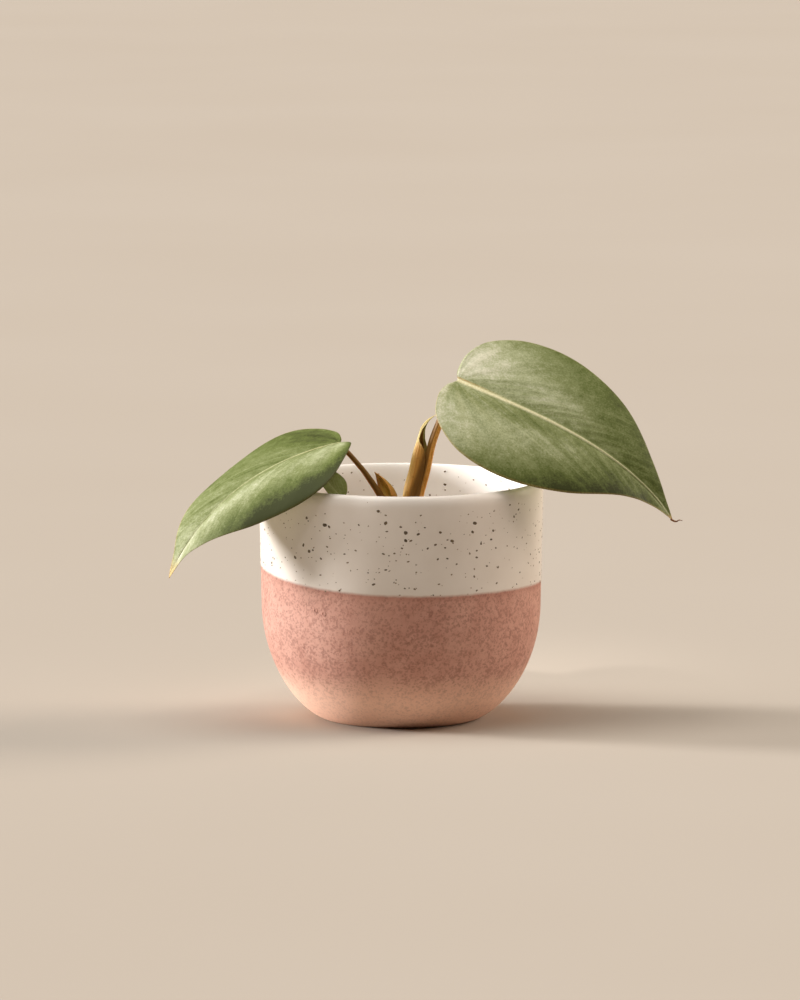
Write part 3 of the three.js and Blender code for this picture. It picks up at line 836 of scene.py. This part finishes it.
def blade_point(leaf, along, out, side):
    """Places and normals of points of the flat blade: along the midrib and out to a side."""
    place, left, up = station(leaf, along)
    u = np.clip(along / leaf["length"], 0, 1)
    fold, curl, growth = (
        np.array(leaf[key])[np.where(side > 0, 0, 1)] for key in ("fold", "curl", "curl_growth")
    )
    fold = fold * DEGREE
    curl = curl + growth * u
    tilt = fold + curl * out
    reach = (np.sin(tilt) - np.sin(fold)) / curl
    drop = (np.cos(fold) - np.cos(tilt)) / curl
    where = place + left * (side * reach)[..., None] - up * drop[..., None]
    normal = up * np.cos(tilt)[..., None] + left * (side * np.sin(tilt))[..., None]
    return where, np.where((out < 1e-6)[..., None], up, normal)


def vein_coordinate(leaf, along, out):
    """Which lateral vein a point lies on: where it left the midrib, or below 0 round the base."""
    border = 1.5 * out + 0.07 * out**2
    from_midrib = (along - border) / leaf["length"]
    angle = np.arctan2(out, along) - np.arctan2(1.0, 1.5 + 0.07 * out)
    return np.where(along > border, from_midrib, -0.16 * np.maximum(angle, 0))


def build_leaf(name):
    leaf = LEAVES[name]
    length, half_width = leaf["length"], leaf["half_width"]
    t = np.linspace(FAN_START, 1, leaf["rows"] + 1)[:, None]
    c = np.linspace(-1, 1, 2 * leaf["columns"] + 1)[None]
    share = np.abs(c) ** 1.35
    side = np.where(c > 0, 1.0, -1.0) * np.ones_like(t)
    fan = np.maximum(0, (t - FAN_END) / (1 - FAN_END)) ** VEIN_SLANT
    edge_along = blend(BLADE_OUTLINE[:, 0], t)
    edge_out = half_width * np.maximum(0, blend(BLADE_OUTLINE[:, 1], t))
    along = length * (fan + (edge_along - fan) * share)
    out = edge_out * share
    middle, normal = blade_point(leaf, along, out, side)

    # Soft quilting between the lateral veins and a slow wave along the margin
    size = half_width / FULL_HALF_WIDTH
    u = np.clip(along / length, 0, 1)
    vein = vein_coordinate(leaf, along, out)
    inner = smooth(out / (6 * size)) * smooth((edge_out - out) / (5 * size))
    quilt = 0.13 * size * np.cos(TURN * vein * VEINS + side) * inner
    wave = 0.4 * size * np.sin(21 * t + 1.9 * side) * smooth(share * 1.6 - 0.6)
    middle = middle + normal * (quilt + wave * smooth((1 - t) * 6))[..., None]

    # The midrib: a low cream ridge on top and a round one below
    rib_width = leaf["rib_width"] * (1 - 0.75 * u)
    ridge = bell(out, rib_width * 0.8) * smooth((1 - u) * 8)
    trough = bell(out - rib_width * 2, rib_width)
    above = BLADE_HALF + (0.28 * ridge - 0.1 * trough) * size
    keel = np.sqrt(np.clip(1 - (out / (rib_width * 1.5)) ** 2, 0, 1))
    keel = leaf["rib_depth"] * (1 - 0.7 * u) * keel * smooth(along / (4 * size) + 0.6)
    # The blade thins out at its margin and its tip
    thin = smooth((edge_out - out) / (1.6 * size)) * smooth((1 - t) * 14) * 0.6 + 0.4
    below = BLADE_HALF + keel
    body, pick, under = sheet(middle, normal, above * thin, below * thin, BLADE_RIM)

    tone = np.full_like(u, leaf["tone"])
    past_base = u + np.minimum(along, 0) / length
    for at, across, long, wide, paler in leaf["zones"]:
        tone = tone + paler * bell(past_base - at, long) * bell(side * share - across, wide)
    rib = leaf["rib_strength"] * smooth((1.35 * rib_width - out) / rib_width) * (1 - 0.75 * u**1.5)
    rim = smooth(1 - (edge_out - out) / (0.4 * size))
    tip = smooth((u - 1) / leaf["dry_tip"] + 1)
    crease = bell(out - rib_width * 1.25, 0.35 * size) * bell(along, 13 * size) * (side > 0)
    tan = np.clip((0.24 - 0.16 * side) * rim + tip + 0.8 * crease, 0, 1)
    # The ridge's colour is weaker underneath
    rib = pick(rib) * (1 - 0.55 * under)
    is_small = name == "small"
    piece(
        f"{name}_blade", body, LEAF_MATERIALS["small" if is_small else "grown"],
        "young_leaf" if is_small else "leaf", f"{name}_leaf",
        vein=np.stack([pick(vein), pick(side * share), 0 * under], axis=1),
        zone=np.stack([pick(tone), rib, pick(tan)], axis=1),
        under=under,
    )


LEAF_MATERIALS = {
    "grown": leaf_material(
        "Leaf",
        [(51, 56, 12), (90, 100, 45), (124, 131, 83), (163, 167, 128), (217, 214, 190)],
        0.5,
        [(150, 160, 112), (174, 180, 134)],
    ),
    "small": leaf_material(
        "YoungLeaf",
        [(90, 99, 37), (119, 132, 61), (145, 157, 87), (170, 180, 115), (202, 206, 148)],
        0.4,
        [(92, 108, 58), (116, 130, 76)],
    ),
}


def build_dried_tip():
    """The dried thread on the larger leaf's tip."""
    leaf = LEAVES["right"]
    tip = station(leaf, np.array([leaf["length"]]))[0][0]
    offsets = [[-0.7, 0, 0.6], [0, 0, 0], [1.4, -0.2, -0.4], [2.6, 0.1, 0.1], [3.9, 0.3, -0.2]]
    rings = limb(tip + offsets, [0.42, 0.38, 0.3, 0.2, 0.08], steps=22, sides=8, facing=UP)[0]
    f = Finish("DriedTip", Roughness=0.8, Specular_IOR_Level=0.3)
    grain = f.noise(1400, 3)
    colour = f.fade(grain, 0.35, 0.65, (96, 52, 26), (152, 104, 62))
    piece("right_dried_tip", closed(rings), f.done(colour, bump=(grain, 0.0001, 1.0)), "leaf")


# Stalks and sheaths

# Each stalk's stripe is the width of its dark stripe, partly painted shade in its groove, and fade
# is where along the stalk that stripe fades out
STALKS = {
    "right": dict(
        points=[
            [4.6, -0.6, 74.5], [5.6, -0.7, 80], [7.4, -1, 87.2], [9.9, -2, 96.6],
            [11.9, -3, 106.5], [14.3, -4, 113.6], [18.3, -5, 123.5],
        ],
        radii=[1.8, 1.75, 1.65, 1.6, 1.6, 1.55, 1.4, 1.25, 1.1],
        facing=[-1, -0.75, 0.2], stripe=0.26, fade=(0.8, 0.95),
    ),
    "left": dict(
        points=[
            [-2.6, -2.2, 74.5], [-4.6, -3.2, 80.5], [-8, -5, 87.3], [-12.6, -7.6, 94.6],
            [-15.9, -9.8, 99.2],
        ],
        radii=[1.8, 1.65, 1.4, 1.2, 1.05, 1, 0.95],
        facing=[0.3, -0.7, 0.9], stripe=0.54, fade=(2.0, 3.0),
    ),
    "small": dict(
        points=[[-11.5, -2.7, 74.5], [-13, -6, 79.5], [-17, -12, 83]],
        radii=[1.3, 1.1, 0.9, 0.75, 0.7],
        facing=[0.2, 0.3, 1], stripe=0.3, fade=(2.0, 3.0),
    ),
}
CAD_BLADE_HALF = 0.4  # half the thickness of the CAD's blade
GAP = 0.3
STALK_SEAT = 1.12  # how low the stalk's end lies under the blade, in its own radii
STALK_STEPS, STALK_SIDES = 110, 28


def build_stalk(name):
    leaf, stalk = LEAVES[name], STALKS[name]
    # It is carried on under the start of the midrib and into it
    depth = STALK_SEAT * (CAD_BLADE_HALF + GAP + stalk["radii"][-1])
    scale = leaf["length"] / LEAVES["right"]["length"]
    place, _, up = station(leaf, np.array([-0.5, 3.5, 7.5]) * scale)
    points = np.vstack([stalk["points"], place - up * [[depth], [depth], [0.6]]])
    radii = [*stalk["radii"], stalk["radii"][-1] * 0.45]

    def grooved(u, turn):
        away = np.minimum(turn, TURN - turn)
        ribs = 1 + 0.012 * np.cos(9 * turn + 5 * u)
        return ribs - 0.13 * bell(away, 0.42) * smooth(u * 6)

    rings, u, turn = limb(points, radii, STALK_STEPS, STALK_SIDES, stalk["facing"], grooved)
    signed = np.where(turn > math.pi, turn - TURN, turn) / math.pi
    stem = with_ends(np.stack([u, signed, 0 * u], axis=-1))
    stem[-2:, 1] = 0.0
    material = stalk_material(f"Stalk_{name}", stalk["stripe"], stalk["fade"])
    piece(f"{name}_stalk", closed(rings), material, "stalk", f"{name}_petiole", stem=stem)


SHEATHS = {
    "right": dict(
        points=[
            [4.4, -0.4, 77], [4.7, -0.1, 87], [6.4, -0.8, 95], [7.8, -1.45, 102],
            [8.35, -1.8, 106], [8.45, -2, 109], [9.1, -2.4, 112.7], [10.9, -3.1, 115.8],
            [13.6, -3.8, 118.3],
        ],
        radii=[3.9, 3.9, 3.6, 3.4, 2.8, 2, 1.4, 0.9, 0.35],
        near=[146, 150, 150, 143, 112, 68, 82, 100, 70],
        far=[135, 138, 132, 120, 108, 98, 90, 80, 60],
        band=[72, 84, 100, 116, 128, 150, 180, 180, 180],
        back=[-1, 0.35, 0], rows=150, columns=30,
    ),
    "left": dict(
        points=[[-3.2, -2, 77.5], [-4.9, -3.4, 86.5], [-7.3, -4.2, 91.3], [-10.2, -5, 96.2]],
        radii=[2.9, 3.5, 2.5, 0.4],
        near=[112, 105, 90, 60],
        far=[112, 105, 90, 60],
        band=[180, 180, 180, 180],
        back=[1, 0.8, -0.2], rows=80, columns=20,
    ),
}
# Their colours: the outside from edge to edge, the inside, the rim, and how much paler the tip is
HUSKS = {
    "RightSheath": (
        [(0.1, 180, 130, 64), (0.4, 214, 194, 122), (0.62, 208, 172, 100), (0.76, 190, 136, 62)],
        [(128, 92, 38), (160, 122, 60)], [(138, 140, 74), (184, 184, 112)], 0.85,
    ),
    "LeftSheath": (
        [(0.1, 196, 138, 66), (0.4, 158, 148, 66), (0.6, 184, 160, 80), (0.9, 206, 154, 82)],
        [(216, 198, 104), (228, 184, 100)], [(190, 132, 66), (214, 160, 90)], 0.0,
    ),
    "NewGrowth": (
        [(0.1, 132, 140, 72), (0.4, 158, 150, 84), (0.65, 176, 128, 84), (0.95, 128, 134, 66)],
        [(110, 76, 40), (140, 104, 60)], [(140, 140, 80), (168, 158, 100)], 0.0,
    ),
}
SHEATH_HALF = 0.22  # half a sheath's thickness
SHEATH_RIM = 0.05


def build_sheath(name):
    shape = SHEATHS[name]
    rows, columns = shape["rows"], 2 * shape["columns"]
    line = spline(shape["points"], rows + 1)
    u, c = np.meshgrid(
        np.linspace(0, 1, rows + 1), np.linspace(-1, 1, columns + 1), indexing="ij"
    )
    arc = np.where(c > 0, blend(shape["near"], u), blend(shape["far"], u))
    angle = c * arc * DEGREE
    out = fan_out(across_line(line, shape["back"]), angle)
    radius = blend(shape["radii"], u) - GAP
    creases = 0.07 * np.cos(17 * angle + 3 * u) + 0.05 * np.cos(31 * angle - 7 * u)
    flare = 0.35 * smooth((np.abs(c) - 0.8) / 0.2) * smooth((u - 0.3) * 3) * smooth((1 - u) * 4)
    middle = line[:, None] + (radius + creases * smooth((1 - u) * 5) + flare)[..., None] * out
    # The free tip thins out, and so do both edges
    thin = 0.35 + 0.65 * smooth((1 - np.abs(c)) * 5) * smooth((1 - u) * 8)
    half = SHEATH_HALF * thin
    body, pick, inside = sheet(middle, out, half, half, SHEATH_RIM)
    brim = pick(smooth((np.abs(c) - 0.7) / 0.2) * smooth((u - 0.35) * 5)) * inside
    # Painted shade of the gap by the stalk, on the outside past this angle round the sheath
    band = pick(smooth((angle / DEGREE - blend(shape["band"], u)) / 26 + 0.5)) * (1 - inside)
    piece(
        f"{name}_husk", body, husk_material(f"{name.title()}Sheath"), "sheath", f"{name}_sheath",
        husk=np.stack([pick(u), pick(0.5 + 0.5 * c), inside], axis=1), brim=brim, band=band,
    )


# What grows in the pot: rhizome, new growth, roots

RHIZOME = {
    "points": [
        [-20, -3, 71.8], [-11, -2.6, 73], [-2.5, -2, 73.4], [4.6, -0.9, 73.6], [13, -0.5, 74],
    ],
    "radii": [3.4, 4.7, 5, 5.2, 4.2],
    "nodes": [0.12, 0.27, 0.5, 0.74, 0.93],
}
GROWTH_TIP = {
    "points": [[12.6, -0.5, 74], [17, -0.4, 74.8], [21, -0.2, 77], [25, 0.2, 80.4]],
    "radii": [4.1, 3.6, 2.2, 0.3],
}
ROOTS = [
    [[-15, -2.8, 72.4], [-16, -10, 74.6], [-18, -17, 70.5], [-21, -23, 58], [-22, -27, 46]],
    [[-6, -2.2, 73], [-6.6, 7, 75], [-8, 14, 71], [-11, 21, 58], [-12, 23, 45]],
    [[6, -0.9, 73.4], [7, -9, 74.8], [9.5, -15, 70.5], [13, -20, 58], [14, -22, 45]],
    [[11, -0.6, 73.6], [12, 8, 75], [14.5, 14, 70.5], [19, 19, 58], [21, 21, 46]],
    [[-2, -1.8, 71], [-2.4, -1, 62], [-1, 1.5, 50], [1.5, 3, 38]],
]
ROOT_RADII = [1.15, 1.1, 1, 0.85, 0.6]


def lumpy(rings, size, seed, height):
    """Rings with lumps of a size and a height on them."""
    away = unit(rings - rings.mean(1, keepdims=True))
    return rings + away * (height * rough(rings, size, seed))[..., None]


def build_rhizome():
    def scarred(u, turn):
        shape = 1 + 0.03 * np.cos(3 * turn + 9 * u) + 0.015 * np.cos(7 * turn - 31 * u)
        for at in RHIZOME["nodes"]:
            slant = at + 0.012 * np.cos(turn)
            shape = shape + 0.11 * bell(u - slant, 0.02) - 0.05 * bell(u - slant - 0.03, 0.009)
        return shape + 0.008 * np.cos(u * 210)

    steps, sides = 160, 48
    rings, u, _ = limb(RHIZOME["points"], RHIZOME["radii"], steps, sides, UP, scarred)
    body = closed(lumpy(rings, 2.2, 1, 0.16))
    tint = 0.45 + 0.25 * rough(body[0], 6, 3)
    for at in RHIZOME["nodes"]:
        tint[: u.size] -= 0.4 * bell(u.ravel() - at - 0.03, 0.02)
    piece("rhizome_body", body, bark_material("Rhizome"), "rhizome", "rhizome", tint=tint)


def build_growth_tip():
    def pleated(u, turn):
        pleats = 1 + 0.03 * np.cos(11 * turn) * smooth(u * 4)
        return pleats - 0.1 * bell(turn - 3.4 - 2.2 * u, 0.12)

    steps, sides = 70, 40
    rings, u, turn = limb(GROWTH_TIP["points"], GROWTH_TIP["radii"], steps, sides, UP, pleated)
    husk = with_ends(np.stack([u, turn / TURN, 0 * u], axis=-1))
    plain = np.zeros(len(husk))
    piece(
        "new_growth", closed(rings), husk_material("NewGrowth"), "sheath", "growth_tip",
        husk=husk, brim=plain, band=plain,
    )


def build_roots():
    material = bark_material("Root")
    for k, points in enumerate(ROOTS):
        rings = limb(points, ROOT_RADII, steps=70, sides=14, facing=[1, 0.2, 0.1])[0]
        body = closed(lumpy(rings, 1.3, k, 0.12))
        tint = 0.55 + 0.3 * rough(body[0], 4, k)
        piece(f"anchor_root_{k + 1}", body, material, "root", f"root_{k + 1}", tint=tint)


# The potting mix

MIX_EDGE_HEIGHT = 73.4
MIX_MOUND = 1.4
MIX_EDGE = BOWL_RADIUS - WALL - GAP + 0.49
MIX_SEGMENTS = 180
KEPT_CLEAR = (2.0, -1.5)  # middle of the line that nothing lies on, over the rhizome
KEPT_CLEAR_HALF = 21.0

# Lumps on the mix: how many, how far out and how far from the rhizome they lie, the ranges of
# their length, width and thickness, their corners, the random seed, and their lowest tint
LUMPS = {
    "bark_chips": ("BarkChips", 520, 46.8, 6.5, ((3, 8.5), (2, 5), (1.2, 2.6)), 22, 21, 0.0),
    "perlite": ("Perlite", 120, 47.5, 6.0, ((1.4, 3.4), (1.3, 3.0), (1.2, 2.6)), 30, 5, 0.5),
}
FIBRE_SEED = 8
FIBRES = 46
FIBRE_RADII = [0.1, 0.17, 0.16, 0.08]
FIBRE_STEP = 2.6


def mix_height(x, y):
    """The height of the mix's surface: a low mound with small lumps, level at its edge."""
    share = np.hypot(x, y) / MIX_EDGE
    ground = np.stack([x, y, 0.0 * x], axis=-1)
    lumps = 0.8 * rough(ground, 5.5, 4) + 0.5 * rough(ground, 2.2, 9)
    return MIX_EDGE_HEIGHT + MIX_MOUND * (1 - share**2) + lumps * smooth((1 - share) * 12)


def build_mix():
    angle = turns(MIX_SEGMENTS)
    radius = np.linspace(0.6, MIX_EDGE, 56)[:, None]
    top = lathe(radius, mix_height(radius * np.cos(angle), radius * np.sin(angle)), angle)
    wall = bowl(np.linspace(math.pi / 2, 0, 12), WALL + GAP, FLOOR + GAP)
    body = closed(np.concatenate([top, lathe(wall[:, :1], wall[:, 1:], angle)]))
    tint = 0.35 + 0.35 * rough(body[0], 3.0, 5)
    piece("mix_body", body, bark_material("Mix"), "mix", "potting_mix", tint=tint)


def hull(points):
    """The convex hull of some points, as points and faces."""
    bm = bmesh.new()
    for p in points:
        bm.verts.new(p)
    result = bmesh.ops.convex_hull(bm, input=bm.verts)
    spare = {*result["geom_interior"], *result["geom_unused"]}
    bmesh.ops.delete(bm, geom=list(spare), context="VERTS")
    bm.verts.index_update()
    made = np.array([tuple(v.co) for v in bm.verts])
    faces = [tuple(v.index for v in face.verts) for face in bm.faces]
    bm.free()
    return made, outward(made, faces)


def clear_spot(rng, reach, room):
    """A random spot on the mix that isn't on the rhizome or the new growth."""
    while True:
        angle = rng.uniform(0, TURN)
        radius = reach * math.sqrt(rng.random())
        x, y = radius * math.cos(angle), radius * math.sin(angle)
        past_end = abs(x - KEPT_CLEAR[0]) - KEPT_CLEAR_HALF
        if math.hypot(max(0.0, past_end), y - KEPT_CLEAR[1]) > room:
            return x, y


def ground_at(x, y):
    return float(mix_height(np.array(x), np.array(y)))


def scatter(name, material, count, reach, room, sizes, corners, seed, lowest):
    """Angular lumps that lie on the mix."""
    rng = random.Random(seed)
    lumps = []
    for _ in range(count):
        x, y = clear_spot(rng, reach, room)
        long, wide, thick = (rng.uniform(*size) for size in sizes)
        tilt = rng.uniform(-0.4, 0.4), rng.uniform(-0.4, 0.4), rng.uniform(0, 6.28)
        turn = Euler(tilt).to_matrix()
        centre = Vector((x, y, ground_at(x, y) + 0.25 * thick))
        points = []
        for _ in range(corners):
            p = Vector([rng.gauss(0, 1) for _ in range(3)]).normalized()
            x, y, z = Vector([math.copysign(abs(v) ** 0.7, v) for v in p])
            points.append(centre + turn @ Vector((x * long / 2, y * wide / 2, z * thick / 2)))
        lumps.append(hull(points))
    return dressing(name, material, lumps, rng, lowest)


def dressing(name, material, bodies, rng, lowest=0.0):
    """A piece of many bodies on the mix, each with its own tint."""
    body, owner = joined(bodies)
    tints = np.array([lowest + (1 - lowest) * rng.random() for _ in bodies])
    return piece(name, body, bark_material(material), "mix", tint=tints[owner])


def build_top_dressing():
    for name, settings in LUMPS.items():
        made = scatter(name, *settings)
        if name == "bark_chips":
            made.data.shade_flat()

    rng = random.Random(FIBRE_SEED)
    strands = []
    for _ in range(FIBRES):
        x, y = clear_spot(rng, 44, 6.5)
        angle, bend = rng.uniform(0, 6.28), rng.uniform(-0.5, 0.5)
        line = []
        for _ in range(5):
            line.append([x, y, ground_at(x, y) + rng.uniform(0.4, 1.8)])
            angle += bend
            x, y = x + FIBRE_STEP * math.cos(angle), y + FIBRE_STEP * math.sin(angle)
        if math.hypot(x, y) < 48:
            rings = limb(line, FIBRE_RADII, steps=18, sides=6, facing=[0.1, 0.2, 1])[0]
            strands.append(closed(rings))
    dressing("coir_fibres", "Fibre", strands, rng)


# Stage, light and camera

BACKDROP_COLOUR = (214, 198, 180)
WORLD_COLOUR = (1.0, 0.85, 0.73, 1)
WORLD_STRENGTH = 0.05
FLOOR_HALF = 12.0
FLOOR_GAP = 0.00005  # between the floor and the pot
BACKDROP_SIDES, BACKDROP_RADIUS, BACKDROP_HEIGHT = 96, 10.0, 9.0
# Far lights: azimuth, elevation and width in degrees, strength, colour. Azimuth 0 is the
# camera's side and -90 the left
SOFTBOXES = {
    "key": (-102, 11.5, 13, 5.3, (1.0, 0.99, 0.99)),
    "fill": (109, 24, 30, 2.2, (1.0, 0.86, 0.74)),
    "window": (-80, 62, 36, 1.0, (1.0, 0.97, 0.92)),
    "overhead": (-60, 85, 50, 1.6, (1.0, 0.99, 0.97)),
}
# A narrow soft-edged beam into the pot
BEAM = {"azimuth": -20, "elevation": 50, "distance": 1.5, "target": (0.005, 0.045, 0.088)}
BEAM_WIDTH = 0.14
BEAM_POWER = 50.0
BEAM_COLOUR = (1.0, 0.93, 0.87)
BEAM_SOURCE = 0.06  # the lamp's own radius
CAMERA_PLACE = (-0.00029, -2.9765, 0.4593)
CAMERA_TILT = 82.827
LENS = 279.07  # with a sensor 36 wide


def staged(name, points, faces, material):
    """A mesh of the set, in metres."""
    mesh = bpy.data.meshes.new(name)
    mesh.from_pydata(points, [], faces)
    mesh.materials.append(material)
    made = linked(name, mesh)
    return made


def build_stage():
    half = FLOOR_HALF
    corners = [(-half, -half, 0), (half, -half, 0), (half, half, 0), (-half, half, 0)]
    f = Finish("Floor", Roughness=1.0, Specular_IOR_Level=0.0)
    colour = f.mix(f.noise(3.0), (179, 168, 155), (183, 173, 161))
    floor = staged("floor", corners, [(0, 1, 2, 3)], f.done(colour))
    floor.location.z = -FLOOR_GAP

    # A plain wall far behind, seen only by the camera, in the lit floor's colour
    f = Finish(
        "Backdrop", Roughness=1.0, Specular_IOR_Level=0.0,
        Emission_Color=BACKDROP_COLOUR, Emission_Strength=1.0,
    )
    points = [
        (BACKDROP_RADIUS * math.cos(a), BACKDROP_RADIUS * math.sin(a), z)
        for z in (-0.001, BACKDROP_HEIGHT) for a in turns(BACKDROP_SIDES)
    ]
    backdrop = staged("backdrop", points, quads(2, BACKDROP_SIDES), f.done((0, 0, 0)))
    for ray in ("diffuse", "glossy", "transmission", "shadow", "volume_scatter"):
        setattr(backdrop, f"visible_{ray}", False)

    world = bpy.data.worlds.new("Studio")
    bpy.context.scene.world = world
    world.use_nodes = True
    background = world.node_tree.nodes["Background"]
    background.inputs["Color"].default_value = WORLD_COLOUR
    background.inputs["Strength"].default_value = WORLD_STRENGTH


def hang(data, azimuth, elevation, distance=1.0, target=(0, 0, 0)):
    """Puts a light at a distance from what it points at."""
    azimuth, elevation = azimuth * DEGREE, elevation * DEGREE
    level = math.cos(elevation)
    towards = Vector(
        (level * math.sin(azimuth), -level * math.cos(azimuth), math.sin(elevation))
    )
    made = linked(data.name, data)
    made.location = Vector(target) + towards * distance
    made.rotation_euler = towards.to_track_quat("Z", "Y").to_euler()


def build_light_and_camera():
    for name, (azimuth, elevation, width, strength, colour) in SOFTBOXES.items():
        data = bpy.data.lights.new(name, "SUN")
        data.angle = width * DEGREE
        data.energy = strength
        data.color = colour
        hang(data, azimuth, elevation)
    data = bpy.data.lights.new("inside", "SPOT")
    data.spot_size = 2 * math.atan(BEAM_WIDTH / 2 / BEAM["distance"])
    data.spot_blend = 1.0
    data.shadow_soft_size = BEAM_SOURCE
    data.energy = BEAM_POWER
    data.color = BEAM_COLOUR
    hang(data, **BEAM)

    data = bpy.data.cameras.new("camera")
    data.sensor_width = 36
    data.lens = LENS
    data.clip_end = 100
    camera = linked("camera", data)
    camera.location = CAMERA_PLACE
    camera.rotation_euler = (CAMERA_TILT * DEGREE, 0, 0)
    bpy.context.scene.camera = camera
    bpy.context.scene.view_settings.view_transform = "Standard"


build_stage()
build_light_and_camera()
build_pot()
for leaf_name in LEAVES:
    build_leaf(leaf_name)
    build_stalk(leaf_name)
build_dried_tip()
for sheath_name in SHEATHS:
    build_sheath(sheath_name)
build_rhizome()
build_growth_tip()
build_roots()
build_mix()
build_top_dressing()
